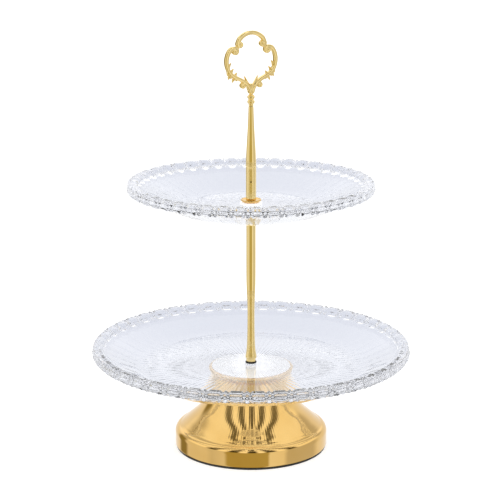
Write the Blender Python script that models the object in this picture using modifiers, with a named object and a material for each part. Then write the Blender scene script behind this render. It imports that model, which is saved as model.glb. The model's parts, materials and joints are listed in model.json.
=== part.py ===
"""Two-tier cake stand: pressed glass plates on a gilt column, with a bell foot and a ring handle.

The column comes apart at two screwed joints. The foot bolt runs up through the lower plate into
the lower rod, and the middle stud runs up through the upper plate into the upper rod. Lengths are
in millimetres here and become metres as each mesh is built. Z is the column's axis, and Z = 0 is
the underside of the foot pad.
"""

import math

import bmesh
import bpy
from mathutils import Matrix, Vector

MM = 0.001

# Driving dimensions
GAP = 0.3
LOWER_PLATE_R = 125.0
UPPER_PLATE_R = 96.0
SCALLOPS = 48
FOOT_R = 60.2
SEAT_R = 32.6
STUD_R = 2.0
TAP_R = 2.3
GLASS_HOLE_R = 3.4

# Heights of the stack, from the foot pad to the handle
PAD_TOP = 1.5
FOOT_BOTTOM = PAD_TOP + GAP
FOOT_TOP = 58.0
SEAT_TOP = 60.3
LOWER_GASKET_TOP = 61.3
LOWER_PLATE_BASE = LOWER_GASKET_TOP + GAP
LOWER_FLOOR = 67.3
LOWER_RIM = 83.8
LOWER_WASHER_TOP = 68.7
LOWER_ROD_BOTTOM = LOWER_WASHER_TOP + GAP
LOWER_ROD_TOP = 187.0
SUPPORT_TOP = 189.1
UPPER_GASKET_TOP = 190.3
UPPER_PLATE_BASE = UPPER_GASKET_TOP + GAP
UPPER_FLOOR = 195.2
UPPER_RIM = 214.0
TOP_GASKET_TOP = 197.2
CUP_BOTTOM = TOP_GASKET_TOP + GAP
CUP_SEAT = 198.7
UPPER_ROD_BOTTOM = CUP_SEAT + GAP
UPPER_ROD_TOP = 272.0
HANDLE_BOTTOM = UPPER_ROD_TOP + GAP

# Screwed joints
ENGAGEMENT = 10.0
FOOT_BOLT_TOP = LOWER_ROD_BOTTOM + ENGAGEMENT
MIDDLE_STUD_TOP = UPPER_ROD_BOTTOM + ENGAGEMENT
TAP_CLEARANCE = 1.5

# Hardware and gaskets
BOLT_HEAD_R = 4.0
BOLT_HEAD_TOP = 54.6
BOLT_HEAD_HEIGHT = 2.8
BOLT_WASHER_R = 12.0
BOLT_WASHER_HEIGHT = 1.6
LOWER_GASKET_R = 31.0
LOWER_WASHER_R = 4.4
UPPER_GASKET_R = 8.6
TOP_GASKET_R = 8.7
SUPPORT_R = 8.4
PIN_R = 1.0
PIN_BOTTOM = 264.0
PIN_TOP = 276.2
VENT_R = 0.6
VENT_HEIGHT = 214.0
VENT_FACING = (-0.47, -0.88, 0.0)

# Thicknesses and curves
FOOT_WALL = 1.2
FOOT_LIP_R = 52.0
PAD_LIP_R = 53.0
TUBE_WALL = 0.75
TUBE_NECK_BORE_R = 1.3
PLATE_CURVE_R = 26.0
SEAT_MARGIN = 1.0
SEAT_RECESS = 0.1
STUD_POINT = 0.4

GOLD = (0.83, 0.60, 0.26)
STEEL = (0.62, 0.62, 0.60)
GLASS = (0.93, 0.96, 0.98)
SILICONE = (0.86, 0.87, 0.84)
RUBBER = (0.03, 0.03, 0.03)
BRASS = (0.72, 0.55, 0.27)


def clear_scene():
    for obj in list(bpy.data.objects):
        bpy.data.objects.remove(obj, do_unlink=True)


def collection(name):
    group = bpy.data.collections.new(name)
    bpy.context.scene.collection.children.link(group)
    return group


def material(name, colour, roughness, metallic=0.0, transmission=0.0):
    surface = bpy.data.materials.new(name)
    surface.use_nodes = True
    surface.diffuse_color = (*colour, 1.0)
    shader = surface.node_tree.nodes["Principled BSDF"]
    shader.inputs["Base Color"].default_value = (*colour, 1.0)
    shader.inputs["Roughness"].default_value = roughness
    shader.inputs["Metallic"].default_value = metallic
    shader.inputs["Transmission Weight"].default_value = transmission
    return surface


def gilt(name):
    return material(name, GOLD, 0.08, metallic=1.0)


def steel(name):
    return material(name, STEEL, 0.3, metallic=1.0)


def add_object(name, mesh, group, surface=None):
    obj = bpy.data.objects.new(name, mesh)
    group.objects.link(obj)
    if surface is not None:
        mesh.materials.append(surface)
    return obj


def shade_round(mesh, degrees=35.0):
    mesh.shade_smooth()
    mesh.set_sharp_from_angle(angle=math.radians(degrees))


# Outlines


def arc(centre, radius, start, end, count):
    """Points (r, z) on an arc from start to end, in degrees from the +r direction."""
    angles = [math.radians(start + (end - start) * i / (count - 1)) for i in range(count)]
    return [(centre[0] + radius * math.cos(a), centre[1] + radius * math.sin(a)) for a in angles]


def smooth(points, per_span):
    """A curve through the points, with per_span steps between each pair (Catmull-Rom)."""
    ends = [points[0]] + list(points) + [points[-1]]
    path = []
    for before, a, b, after in zip(ends, ends[1:], ends[2:], ends[3:]):
        for step in range(per_span):
            t = step / per_span
            path.append(
                tuple(
                    0.5
                    * (
                        2 * q
                        + (r - p) * t
                        + (2 * p - 5 * q + 4 * r - s) * t**2
                        + (3 * q - p - 3 * r + s) * t**3
                    )
                    for p, q, r, s in zip(before, a, b, after)
                )
            )
    return path + [points[-1]]


def ring_outline(inner, outer, bottom, top, edge):
    """A flat ring's section with its outer corners cut back by edge, down the outer side first."""
    upper = [(outer - edge, top), (outer, top - edge)]
    lower = [(outer, bottom + edge), (outer - edge, bottom)]
    return [(inner, top)] + upper + lower + [(inner, bottom)]


def turned(name, outline, group, surface, steps=24, closed=True):
    """Turn an outline of (r, z) points about Z. A closed outline joins its last point to its first."""
    mesh = bpy.data.meshes.new(name)
    points = [(r * MM, 0.0, z * MM) for r, z in outline]
    edges = [(i, i + 1) for i in range(len(points) - 1)]
    if closed:
        edges.append((len(points) - 1, 0))
    mesh.from_pydata(points, edges, [])
    obj = add_object(name, mesh, group, surface)
    screw = obj.modifiers.new("Turn", "SCREW")
    screw.axis = "Z"
    screw.steps = steps
    screw.render_steps = steps
    screw.use_merge_vertices = True
    screw.merge_threshold = 0.00001
    screw.use_smooth_shade = True
    return obj


def flat_ring(name, group, surface, inner, outer, bottom, top, edge=0.3):
    return turned(name, ring_outline(inner, outer, bottom, top, edge), group, surface)


def cylinder(name, group, radius, bottom, top, sides=24, surface=None):
    bpy.ops.mesh.primitive_cylinder_add(
        vertices=sides,
        radius=radius * MM,
        depth=(top - bottom) * MM,
        location=(0, 0, (top + bottom) / 2 * MM),
    )
    obj = bpy.context.object
    for owner in list(obj.users_collection):
        owner.objects.unlink(obj)
    group.objects.link(obj)
    obj.name = name
    obj.data.name = name
    if surface is not None:
        obj.data.materials.append(surface)
    return obj


def boolean(obj, tool, operation):
    change = obj.modifiers.new(operation.title(), "BOOLEAN")
    change.operation = operation
    change.solver = "EXACT"
    change.object = tool
    tool.hide_render = True
    tool.display_type = "WIRE"
    return change


# Foot


def foot_outline():
    """The bell from the bolt hole, out over the seat, down the flare and round the drum to its inner lip."""
    neck = smooth(
        [(SEAT_R, FOOT_TOP - 0.6), (30.6, 54.0), (31.4, 48.0), (34.8, 40.2), (41.2, 31.0), (50.0, 22.8)],
        2,
    )
    shoulder = arc((55.0, 12.2), 5.2, 78, 0, 4)
    return (
        [(TAP_R + GAP, FOOT_TOP), (SEAT_R - 1.0, FOOT_TOP)]
        + neck
        + [(54.0, 19.2)]
        + shoulder
        + [(FOOT_R, FOOT_BOTTOM + 0.6), (FOOT_R - 0.6, FOOT_BOTTOM), (FOOT_LIP_R, FOOT_BOTTOM)]
    )


def foot_shell(group):
    shell = turned("foot_shell", foot_outline(), group, gilt("foot_gold"), steps=44, closed=False)
    wall = shell.modifiers.new("Wall", "SOLIDIFY")
    wall.thickness = FOOT_WALL * MM
    wall.offset = -1.0
    wall.use_even_offset = True
    return shell


def foot_pad(group):
    return turned(
        "foot_pad",
        ring_outline(PAD_LIP_R, FOOT_R - 0.8, 0.0, PAD_TOP, 0.3),
        group,
        material("pad_black", RUBBER, 0.9),
        steps=44,
    )


def foot_bolt(group, tools):
    """Hexagon-head bolt, M4, that holds the foot, the lower plate and the lower rod together."""
    bottom = BOLT_HEAD_TOP - BOLT_HEAD_HEIGHT
    surface = steel("bolt_steel")
    head = cylinder("foot_bolt", group, BOLT_HEAD_R, bottom, BOLT_HEAD_TOP, sides=6, surface=surface)
    shank = cylinder("foot_bolt_shank", tools, STUD_R, BOLT_HEAD_TOP - 1.0, FOOT_BOLT_TOP)
    boolean(head, shank, "UNION")
    return head


def foot_bolt_washer(group):
    top = FOOT_TOP - FOOT_WALL - GAP
    bottom = top - BOLT_WASHER_HEIGHT
    return flat_ring("foot_bolt_washer", group, steel("washer_steel"), TAP_R, BOLT_WASHER_R, bottom, top)


def foot_seat(group):
    return turned(
        "foot_seat",
        ring_outline(TAP_R, SEAT_R + 0.6, FOOT_TOP + GAP, SEAT_TOP, 0.8),
        group,
        gilt("seat_gold"),
        steps=44,
    )


# Plates


def ring_of(bm, angles, place):
    """One closed ring of vertices. place(index) gives the radius and height at angles[index]."""
    ring = []
    for index, angle in enumerate(angles):
        radius, height = place(index)
        ring.append(bm.verts.new((radius * MM * math.cos(angle), radius * MM * math.sin(angle), height * MM)))
    return ring


def bridge(bm, one, other):
    """Join two rings whose counts divide, with one face for each edge of the smaller ring."""
    if len(one) > len(other):
        one, other = other, one
    ratio = len(other) // len(one)
    for i in range(len(one)):
        fan = [other[(i * ratio + k) % len(other)] for k in range(ratio + 1)]
        bm.faces.new([one[i], one[(i + 1) % len(one)]] + fan[::-1])


def rim_rows(radius, rim):
    """Rows round the rim, from underneath to the top's inner edge, as (block point, groove point)."""
    return [
        ((radius - 3.6, rim - 7.0), (radius - 4.6, rim - 6.6)),
        ((radius - 0.9, rim - 6.0), (radius - 2.4, rim - 5.3)),
        ((radius, rim - 4.7), (radius - 1.7, rim - 4.2)),
        ((radius, rim - 1.1), (radius - 1.7, rim - 2.3)),
        ((radius - 1.1, rim), (radius - 2.5, rim - 1.5)),
        ((radius - 7.0, rim), (radius - 7.0, rim - 1.7)),
        ((radius - 8.2, rim - 1.2), (radius - 8.1, rim - 2.1)),
    ]


def fillet(level, edge, slope, radius, count):
    """An arc from flat at the height level up to the line that rises at slope degrees through edge."""
    tilt = math.radians(slope)
    reach = (math.cos(tilt) * (level + radius - edge[1]) - radius) / math.sin(tilt)
    return arc((edge[0] + reach, level + radius), radius, -90, -90 + slope, count)


def pressed_plate(name, group, radius, base, floor, rim, slope, wall, seat):
    """A round glass plate with a drilled flat base, a sloping wall and a rim of rounded blocks.

    The column's washer covers the floor out to the radius seat, on a ground ring sunk a little.
    """
    pitch = 2 * math.pi / SCALLOPS
    groove, ramp = 0.19 * pitch, 0.08 * pitch
    tilt = math.radians(slope)
    inner_edge = (radius - 9.0, rim - 3.6)
    outer_edge = (inner_edge[0] + wall * math.sin(tilt), inner_edge[1] - wall * math.cos(tilt))
    top = fillet(floor, inner_edge, slope, PLATE_CURVE_R, 4)
    under = fillet(base, outer_edge, slope, PLATE_CURVE_R + wall, 4)

    coarse = [i * pitch for i in range(SCALLOPS)]
    fine = [a + step for a in coarse for step in (0, groove, groove + ramp, pitch - ramp)]
    is_block = [False, False, True, True] * SCALLOPS

    bm = bmesh.new()
    rings = [ring_of(bm, coarse, lambda i: (GLASS_HOLE_R, base))]
    for point in under:
        rings.append(ring_of(bm, coarse, lambda i: point))
    for block, dip in rim_rows(radius, rim):
        rings.append(ring_of(bm, fine, lambda i: block if is_block[i] else dip))
    for point in [inner_edge] + top[::-1]:
        rings.append(ring_of(bm, coarse, lambda i: point))
    ground = floor - SEAT_RECESS
    for point in [(seat + SEAT_MARGIN, floor), (seat + SEAT_MARGIN / 2, ground), (GLASS_HOLE_R, ground)]:
        rings.append(ring_of(bm, coarse, lambda i: point))
    for one, other in zip(rings, rings[1:] + rings[:1]):
        bridge(bm, one, other)
    bmesh.ops.recalc_face_normals(bm, faces=bm.faces)
    mesh = bpy.data.meshes.new(name)
    bm.to_mesh(mesh)
    bm.free()
    shade_round(mesh)
    return add_object(name, mesh, group, material(name + "_glass", GLASS, 0.02, transmission=0.9))


def lower_plate(group):
    heights = (LOWER_PLATE_BASE, LOWER_FLOOR, LOWER_RIM)
    shape = {"slope": 24, "wall": 6.2, "seat": LOWER_WASHER_R}
    return pressed_plate("lower_plate", group, LOWER_PLATE_R, *heights, **shape)


def upper_plate(group):
    heights = (UPPER_PLATE_BASE, UPPER_FLOOR, UPPER_RIM)
    shape = {"slope": 23, "wall": 5.2, "seat": TOP_GASKET_R}
    return pressed_plate("upper_plate", group, UPPER_PLATE_R, *heights, **shape)


def silicone(name):
    return material(name, SILICONE, 0.5, transmission=0.3)


def plate_bushes(group):
    for name, bottom, floor in (
        ("lower_plate_bush", LOWER_PLATE_BASE, LOWER_FLOOR),
        ("upper_plate_bush", UPPER_PLATE_BASE, UPPER_FLOOR),
    ):
        outline = ring_outline(TAP_R, GLASS_HOLE_R - GAP, bottom, floor - 0.2, 0.2)
        turned(name, outline, group, silicone(name + "_silicone"), steps=24)


def gaskets(group):
    rubber = material("lower_washer_rubber", RUBBER, 0.7)
    bottom = silicone("lower_gasket_silicone")
    under = silicone("upper_gasket_silicone")
    top = silicone("top_gasket_silicone")
    for name, surface, outer, low, high, edge in (
        ("lower_plate_bottom_gasket", bottom, LOWER_GASKET_R, SEAT_TOP + GAP, LOWER_GASKET_TOP, 0.3),
        ("lower_plate_top_gasket", rubber, LOWER_WASHER_R, LOWER_FLOOR + GAP, LOWER_WASHER_TOP, 0.25),
        ("upper_plate_bottom_gasket", under, UPPER_GASKET_R, SUPPORT_TOP + GAP, UPPER_GASKET_TOP, 0.3),
        ("upper_plate_top_gasket", top, TOP_GASKET_R, UPPER_FLOOR + GAP, TOP_GASKET_TOP, 0.5),
    ):
        flat_ring(name, group, surface, TAP_R, outer, low, high, edge)


# Column


def lower_rod_outline():
    """The rod's outer side, from its top face to its bottom face."""
    body = [
        (3.70, LOWER_ROD_TOP - 0.4),
        (3.70, 140.0),
        (3.45, 128.0),
        (2.85, 114.0),
        (2.85, 97.0),
        (3.15, 84.0),
        (3.65, 77.5),
        (4.40, 73.2),
    ]
    foot = arc((3.2, 72.4), 1.2, 20, -40, 3)
    return (
        [(3.3, LOWER_ROD_TOP)]
        + smooth(body, 2)
        + foot
        + [(3.75, LOWER_ROD_BOTTOM + 0.2), (3.6, LOWER_ROD_BOTTOM)]
    )


def lower_rod(group):
    """A solid turned rod with a blind tapped hole in each end."""
    depth = ENGAGEMENT + TAP_CLEARANCE
    outline = (
        [(0.0, LOWER_ROD_TOP - depth), (TAP_R, LOWER_ROD_TOP - depth), (TAP_R, LOWER_ROD_TOP)]
        + lower_rod_outline()
        + [(TAP_R, LOWER_ROD_BOTTOM), (TAP_R, LOWER_ROD_BOTTOM + depth), (0.0, LOWER_ROD_BOTTOM + depth)]
    )
    return turned("lower_rod", outline, group, gilt("lower_rod_gold"), steps=20, closed=False)


def middle_stud(group):
    """Threaded stud that stays in the lower rod and carries the upper rod."""
    bottom = LOWER_ROD_TOP - ENGAGEMENT
    outline = [
        (0.0, MIDDLE_STUD_TOP),
        (STUD_R - STUD_POINT, MIDDLE_STUD_TOP),
        (STUD_R, MIDDLE_STUD_TOP - STUD_POINT),
        (STUD_R, bottom + STUD_POINT),
        (STUD_R - STUD_POINT, bottom),
        (0.0, bottom),
    ]
    return turned("middle_stud", outline, group, steel("stud_steel"), steps=20, closed=False)


def upper_support_washer(group):
    """Dished washer on the lower rod's top face, under the upper plate."""
    bottom = LOWER_ROD_TOP + GAP
    bead = 0.5
    edge = SUPPORT_R - bead
    outline = [(TAP_R, SUPPORT_TOP), (edge, SUPPORT_TOP)] + arc((edge, SUPPORT_TOP - bead), bead, 60, -60, 3)
    outline += [(4.6, bottom), (TAP_R, bottom)]
    return turned("upper_support_washer", outline, group, gilt("support_gold"))


def upper_cup_washer(group):
    """Shallow dish between the upper rod and the upper plate, with its lip turned up."""
    outline = [(TAP_R, CUP_SEAT), (4.9, CUP_SEAT), (7.1, 199.5)]
    outline += arc((7.6, 199.3), 0.45, 120, -20, 4)
    outline += [(6.6, CUP_BOTTOM + 0.2), (6.0, CUP_BOTTOM), (TAP_R, CUP_BOTTOM)]
    return turned("upper_cup_washer", outline, group, gilt("cup_gold"))


def upper_rod_outline():
    return smooth(
        [(2.0, UPPER_ROD_TOP), (2.6, 256.0), (3.65, 238.0), (3.95, 229.0), (3.95, UPPER_ROD_BOTTOM + 0.3)], 3
    )


def upper_rod(group, tools):
    """Drawn tube, narrowed at the top, with a small vent hole through its front."""
    outer = upper_rod_outline()
    inner = [(max(r - TUBE_WALL, TUBE_NECK_BORE_R), z) for r, z in outer]
    inner[-1] = (inner[-1][0], UPPER_ROD_BOTTOM)
    outline = outer + [(outer[-1][0] - 0.3, UPPER_ROD_BOTTOM)] + inner[::-1]
    rod = turned("upper_rod", outline, group, gilt("upper_rod_gold"), steps=20)
    vent = cylinder("upper_rod_vent", tools, VENT_R, 0.0, 8.0, sides=12)
    facing = Vector(VENT_FACING).normalized()
    turn = facing.to_track_quat("Z", "Y").to_matrix().to_4x4()
    vent.matrix_world = Matrix.Translation(Vector((0, 0, VENT_HEIGHT * MM)) + facing * 4.5 * MM) @ turn
    boolean(rod, vent, "DIFFERENCE")
    return rod


def upper_rod_insert(group):
    """Tapped bush pressed into the foot of the upper rod."""
    outer = upper_rod_outline()[-1][0] - TUBE_WALL - GAP
    outline = ring_outline(TAP_R, outer, UPPER_ROD_BOTTOM + 0.4, MIDDLE_STUD_TOP + TAP_CLEARANCE, 0.2)
    surface = material("insert_brass", BRASS, 0.3, metallic=1.0)
    return turned("upper_rod_insert", outline, group, surface, steps=20)


# Handle

BAR_R = 1.5
TOP_LOBE = ((0.0, 315.2), 13.1)
TOP_SWELL = 0.5
SIDE_BAR = (
    (10.6, 318.4),
    (13.4, 317.7),
    (16.2, 317.3),
    (18.5, 315.2),
    (20.4, 311.6),
    (21.1, 307.3),
    (20.5, 303.2),
    (18.8, 299.5),
    (16.0, 296.7),
    (12.2, 294.5),
    (8.2, 292.6),
    (4.4, 290.3),
    (1.4, 286.8),
)
SIDE_SWELL = 0.6
LINKS = (((9.55, 319.85), (13.9, 314.9), 1.3), ((8.0, 292.4), (7.5, 288.8), 1.1))
SCROLLS = (((9.55, 319.85), 2.9), ((13.9, 314.9), 2.9), ((7.05, 288.3), 2.4))
LEAVES = (
    ((18.6, 299.6), (18.2, 303.2), (17.5, 306.4)),
    ((14.8, 296.4), (15.4, 298.6), (15.2, 301.2)),
    ((16.4, 297.0), (17.6, 295.2), (18.4, 293.8)),
    ((13.0, 295.0), (14.4, 293.0), (15.4, 291.4)),
    ((2.4, 288.0), (4.4, 291.4), (5.6, 295.2)),
)
LEAF_R = (1.5, 1.2, 0.35)
STEM_BASE = 280.9


def tube(points, radii):
    """A closed mesh swept along (u, z) points in the handle's plane, with a radius at each point."""
    data = bpy.data.curves.new("handle_bar", "CURVE")
    data.dimensions = "3D"
    data.bevel_depth = MM
    data.bevel_resolution = 2
    data.use_fill_caps = True
    spline = data.splines.new("POLY")
    spline.points.add(len(points) - 1)
    for knot, (u, z), radius in zip(spline.points, points, radii):
        knot.co = (u * MM, 0.0, z * MM, 1.0)
        knot.radius = radius
    guide = bpy.data.objects.new("handle_bar", data)
    bpy.context.scene.collection.objects.link(guide)
    bpy.context.view_layer.update()
    view = bpy.context.evaluated_depsgraph_get()
    mesh = bpy.data.meshes.new_from_object(guide.evaluated_get(view))
    bpy.data.objects.remove(guide, do_unlink=True)
    bm = bmesh.new()
    bm.from_mesh(mesh)
    bmesh.ops.remove_doubles(bm, verts=bm.verts, dist=0.000001)
    bm.to_mesh(mesh)
    bm.free()
    return mesh


def handle_tubes():
    """The bars and leaves of the ring, each a closed tube that runs into its neighbours."""
    top = arc(*TOP_LOBE, 148, 32, 11)
    reach = max(u for u, z in top)
    tubes = [tube(top, [BAR_R + TOP_SWELL * (u / reach) ** 4 for u, z in top])]
    bar = smooth(SIDE_BAR, 2)
    along = [i / (len(bar) - 1) for i in range(len(bar))]
    swell = [BAR_R + SIDE_SWELL * min(1.0, max(0.0, 3 * t - 1.3)) for t in along]
    for side in (-1, 1):
        tubes.append(tube([(side * u, z) for u, z in bar], swell))
        for start, end, radius in LINKS:
            tubes.append(tube([(side * u, z) for u, z in (start, end)], [radius, radius]))
        for leaf in LEAVES:
            tubes.append(tube([(side * u, z) for u, z in leaf], LEAF_R))
    return tubes


def stem_outline():
    """The stem under the ring: a taper, two beads and a collar with a blind hole for the pin."""
    beads = arc((1.15, 279.25), 1.8, 58, -58, 5) + arc((1.15, 275.65), 1.8, 58, -60, 5)
    return (
        [(0.0, 290.0), (2.4, 289.2), (2.8, 287.0), (2.3, 284.6), (1.8, 282.4), (1.5, STEM_BASE)]
        + beads
        + [(1.9, 273.6), (1.9, HANDLE_BOTTOM), (PIN_R + GAP, HANDLE_BOTTOM)]
        + [(PIN_R + GAP, PIN_TOP + 0.4), (0.0, PIN_TOP + 0.4)]
    )


def handle(group, tools):
    """One casting: the ring of lobes, scrolls and leaves, joined to its beaded stem."""
    bm = bmesh.new()
    for mesh in handle_tubes():
        bm.from_mesh(mesh)
    for (u, z), radius in SCROLLS:
        for side in (-1, 1):
            place = Matrix.Translation((side * u * MM, 0.0, z * MM)) @ Matrix.Rotation(math.pi / 2, 4, "X")
            bmesh.ops.create_uvsphere(bm, u_segments=10, v_segments=7, radius=radius * MM, matrix=place)
    mesh = bpy.data.meshes.new("handle")
    bm.to_mesh(mesh)
    bm.free()
    ring = add_object("handle", mesh, group, gilt("handle_gold"))
    stem = turned("handle_stem", stem_outline(), tools, None, steps=16, closed=False)
    boolean(ring, stem, "UNION").use_self = True
    return ring


def handle_pin(group):
    """Pin that holds the handle in the neck of the upper rod."""
    outline = [(0.0, PIN_TOP), (PIN_R, PIN_TOP), (PIN_R, PIN_BOTTOM), (0.0, PIN_BOTTOM)]
    return turned("handle_pin", outline, group, steel("pin_steel"), steps=16, closed=False)


def main():
    clear_scene()
    group = collection("cake_stand")
    tools = collection("cutters")
    foot_pad(group)
    foot_shell(group)
    foot_seat(group)
    foot_bolt_washer(group)
    foot_bolt(group, tools)
    lower_plate(group)
    lower_rod(group)
    middle_stud(group)
    upper_support_washer(group)
    upper_plate(group)
    plate_bushes(group)
    gaskets(group)
    upper_cup_washer(group)
    upper_rod(group, tools)
    upper_rod_insert(group)
    handle_pin(group)
    handle(group, tools)


main()
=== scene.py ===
"""Looks of the two-tier cake stand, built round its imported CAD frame."""

import json
import math

import bmesh
import bpy
import numpy as np
from mathutils import Matrix, Vector


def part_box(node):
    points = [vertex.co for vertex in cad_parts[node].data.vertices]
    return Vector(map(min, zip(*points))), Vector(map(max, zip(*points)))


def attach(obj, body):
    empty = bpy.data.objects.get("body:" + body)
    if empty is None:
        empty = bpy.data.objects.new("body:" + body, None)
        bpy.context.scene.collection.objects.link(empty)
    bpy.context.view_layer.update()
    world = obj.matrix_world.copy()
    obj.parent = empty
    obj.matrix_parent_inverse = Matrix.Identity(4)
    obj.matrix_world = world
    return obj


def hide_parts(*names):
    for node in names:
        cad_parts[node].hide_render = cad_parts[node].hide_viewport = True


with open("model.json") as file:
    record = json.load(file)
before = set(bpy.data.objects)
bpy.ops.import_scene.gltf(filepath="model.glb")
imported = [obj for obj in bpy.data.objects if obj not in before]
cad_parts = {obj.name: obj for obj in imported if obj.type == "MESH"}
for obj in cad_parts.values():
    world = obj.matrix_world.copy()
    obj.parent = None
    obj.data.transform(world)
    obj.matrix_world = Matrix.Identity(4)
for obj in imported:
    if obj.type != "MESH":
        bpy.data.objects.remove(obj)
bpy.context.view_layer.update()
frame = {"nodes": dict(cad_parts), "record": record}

MM = 0.001
TAU = 2 * math.pi

# M4 threads, the holes for them, and the steps round a hexagon head
THREAD_R = 2.0 * MM
THREAD_PITCH = 0.7 * MM
THREAD_DEPTH = 0.42 * MM
TAP_R = 2.3 * MM
HEXAGON_STEPS = 24

# Camera, with its azimuth measured from straight in front of the ring handle
CAMERA_AZIMUTH = math.radians(-28)
CAMERA_DISTANCE = 1.3227
CAMERA_HEIGHT = 0.49265
CAMERA_PITCH = math.radians(14.15)
CAMERA_LENS = 126.3
CAMERA_SHIFT = -0.002


# ---------------------------------------------------------------- frame lookups


def box_of(node):
    """The node's outer radius, lowest height and highest height."""
    low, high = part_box(node)
    return max(high[0], high[1], -low[0], -low[1]), low[2], high[2]


def mount_height(name):
    """The height of a mount of the record."""
    for mount in frame["record"]["mounts"]:
        if mount["name"] == name:
            return mount["pos_m"][2]
    raise ValueError(name)


# ---------------------------------------------------------------- outlines


def arc(centre, radius, start, end, count):
    """Points on an arc from start to end, in degrees from the first axis."""
    angles = np.radians(np.linspace(start, end, count))
    return [(centre[0] + radius * math.cos(a), centre[1] + radius * math.sin(a)) for a in angles]


def line(start, end, count):
    """Points from start towards end, without the end itself."""
    share = np.arange(count) / count
    return [(start[0] + (end[0] - start[0]) * t, start[1] + (end[1] - start[1]) * t) for t in share]


def smooth(points, per_span):
    """A curve through the points, with per_span steps between each pair (Catmull-Rom)."""
    points = [Vector(p) for p in points]
    ends = [points[0]] + points + [points[-1]]
    path = []
    for p, q, r, s in zip(ends, ends[1:], ends[2:], ends[3:]):
        for t in np.arange(per_span) / per_span:
            step = 2 * q + (r - p) * t + (2 * p - 5 * q + 4 * r - s) * t**2
            path.append(tuple(0.5 * (step + (3 * q - p - 3 * r + s) * t**3)))
    return path + [tuple(points[-1])]


def softened(points, radius, count):
    """A closed outline with each corner turned into a curve that starts radius away from it.

    On a short side the curve starts nearer, so that it leaves room for the next one.
    """
    out = []
    total = len(points)
    most = 0.45
    for i in range(total):
        before, corner, after = Vector(points[i - 1]), Vector(points[i]), Vector(points[(i + 1) % total])
        start = corner + (before - corner) * min(most, radius / (before - corner).length)
        end = corner + (after - corner) * min(most, radius / (after - corner).length)
        for t in np.linspace(0, 1, count):
            out.append(tuple((1 - t) ** 2 * start + 2 * t * (1 - t) * corner + t**2 * end))
    return out


def ease(value, start, end):
    """0 below start, 1 above end, with a smooth step between them."""
    t = np.clip((np.asarray(value) - start) / (end - start), 0, 1)
    return t * t * (3 - 2 * t)


# ---------------------------------------------------------------- meshes


def add_piece(name, mesh, body, surface, replaced):
    """An object for the mesh that rides the body, shows the material and stands in for CAD nodes."""
    obj = bpy.data.objects.new(name, mesh)
    bpy.context.scene.collection.objects.link(obj)
    mesh.materials.append(surface)
    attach(obj, body)
    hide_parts(*replaced)
    return obj


def grid_mesh(name, points, smooth_angle=40, closed=True):
    """A mesh from rows x columns x 3 points. Columns join round; rows do too when closed."""
    rows, columns = points.shape[:2]
    index = np.arange(rows * columns).reshape(rows, columns)
    below = np.roll(index, -1, axis=0)
    if not closed:
        index, below = index[:-1], below[:-1]
    right, corner = np.roll(index, -1, axis=1), np.roll(below, -1, axis=1)
    quads = np.stack([index, below, corner, right], axis=-1).reshape(-1, 4).tolist()
    if not closed:
        quads.append(list(range(columns)))
        quads.append(list(range((rows - 1) * columns, rows * columns))[::-1])
    mesh = bpy.data.meshes.new(name)
    mesh.from_pydata(points.reshape(-1, 3).tolist(), [], quads)
    mesh.shade_smooth()
    mesh.set_sharp_from_angle(angle=math.radians(smooth_angle))
    return mesh


def turned_mesh(name, outline, steps=96, smooth_angle=35):
    """A closed outline of (r, z), running down its outer side, turned about Z."""
    outline = np.array(outline)
    angles = np.arange(steps) * TAU / steps
    r, z = outline[:, 0][:, None], outline[:, 1][:, None]
    points = np.stack([r * np.cos(angles), r * np.sin(angles), z + 0 * angles], axis=-1)
    return grid_mesh(name, points, smooth_angle)


# ---------------------------------------------------------------- materials


class Nodes:
    """A material's node tree, with short calls for the nodes used here."""

    def __init__(self, name):
        self.material = bpy.data.materials.new(name)
        self.material.use_nodes = True
        self.tree = self.material.node_tree
        self.shader = self.tree.nodes["Principled BSDF"]

    def add(self, kind, **settings):
        """A new node with these settings."""
        node = self.tree.nodes.new(kind)
        for key, value in settings.items():
            setattr(node, key, value)
        return node

    def link(self, source, target):
        """Join an output to an input."""
        self.tree.links.new(source, target)

    def noise(self, scale, detail=3.0, roughness=0.55, stretch=(1, 1, 1)):
        """Noise fixed to the object, from 0 to 1."""
        place = self.add("ShaderNodeTexCoord")
        mapping = self.add("ShaderNodeMapping")
        mapping.inputs["Scale"].default_value = stretch
        texture = self.add("ShaderNodeTexNoise")
        texture.inputs["Scale"].default_value = scale
        texture.inputs["Detail"].default_value = detail
        texture.inputs["Roughness"].default_value = roughness
        self.link(place.outputs["Object"], mapping.inputs["Vector"])
        self.link(mapping.outputs["Vector"], texture.inputs["Vector"])
        return texture.outputs["Fac"]

    def ranged(self, source, low, high, start=0.3, end=0.7):
        """The source, with start mapped to low and end to high."""
        node = self.add("ShaderNodeMapRange")
        node.inputs["From Min"].default_value = start
        node.inputs["From Max"].default_value = end
        node.inputs["To Min"].default_value = low
        node.inputs["To Max"].default_value = high
        self.link(source, node.inputs["Value"])
        return node.outputs["Result"]

    def colour(self, source, one, other):
        """The base colour, from one at a source of 0 to other at 1."""
        node = self.add("ShaderNodeMix", data_type="RGBA")
        node.inputs[6].default_value = (*one, 1)
        node.inputs[7].default_value = (*other, 1)
        self.link(source, node.inputs["Factor"])
        self.link(node.outputs[2], self.shader.inputs["Base Color"])

    def roughness(self, source, low, high):
        """The roughness, which follows the source from low to high."""
        self.link(self.ranged(source, low, high), self.shader.inputs["Roughness"])

    def bump(self, source, strength, distance):
        """Fine relief that follows the source."""
        node = self.add("ShaderNodeBump")
        node.inputs["Strength"].default_value = strength
        node.inputs["Distance"].default_value = distance
        self.link(source, node.inputs["Height"])
        self.link(node.outputs["Normal"], self.shader.inputs["Normal"])

    def set(self, **values):
        """Uniform values on the shader's sockets, named with _ for a space."""
        for key, value in values.items():
            self.shader.inputs[key.replace("_", " ")].default_value = value


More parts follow.
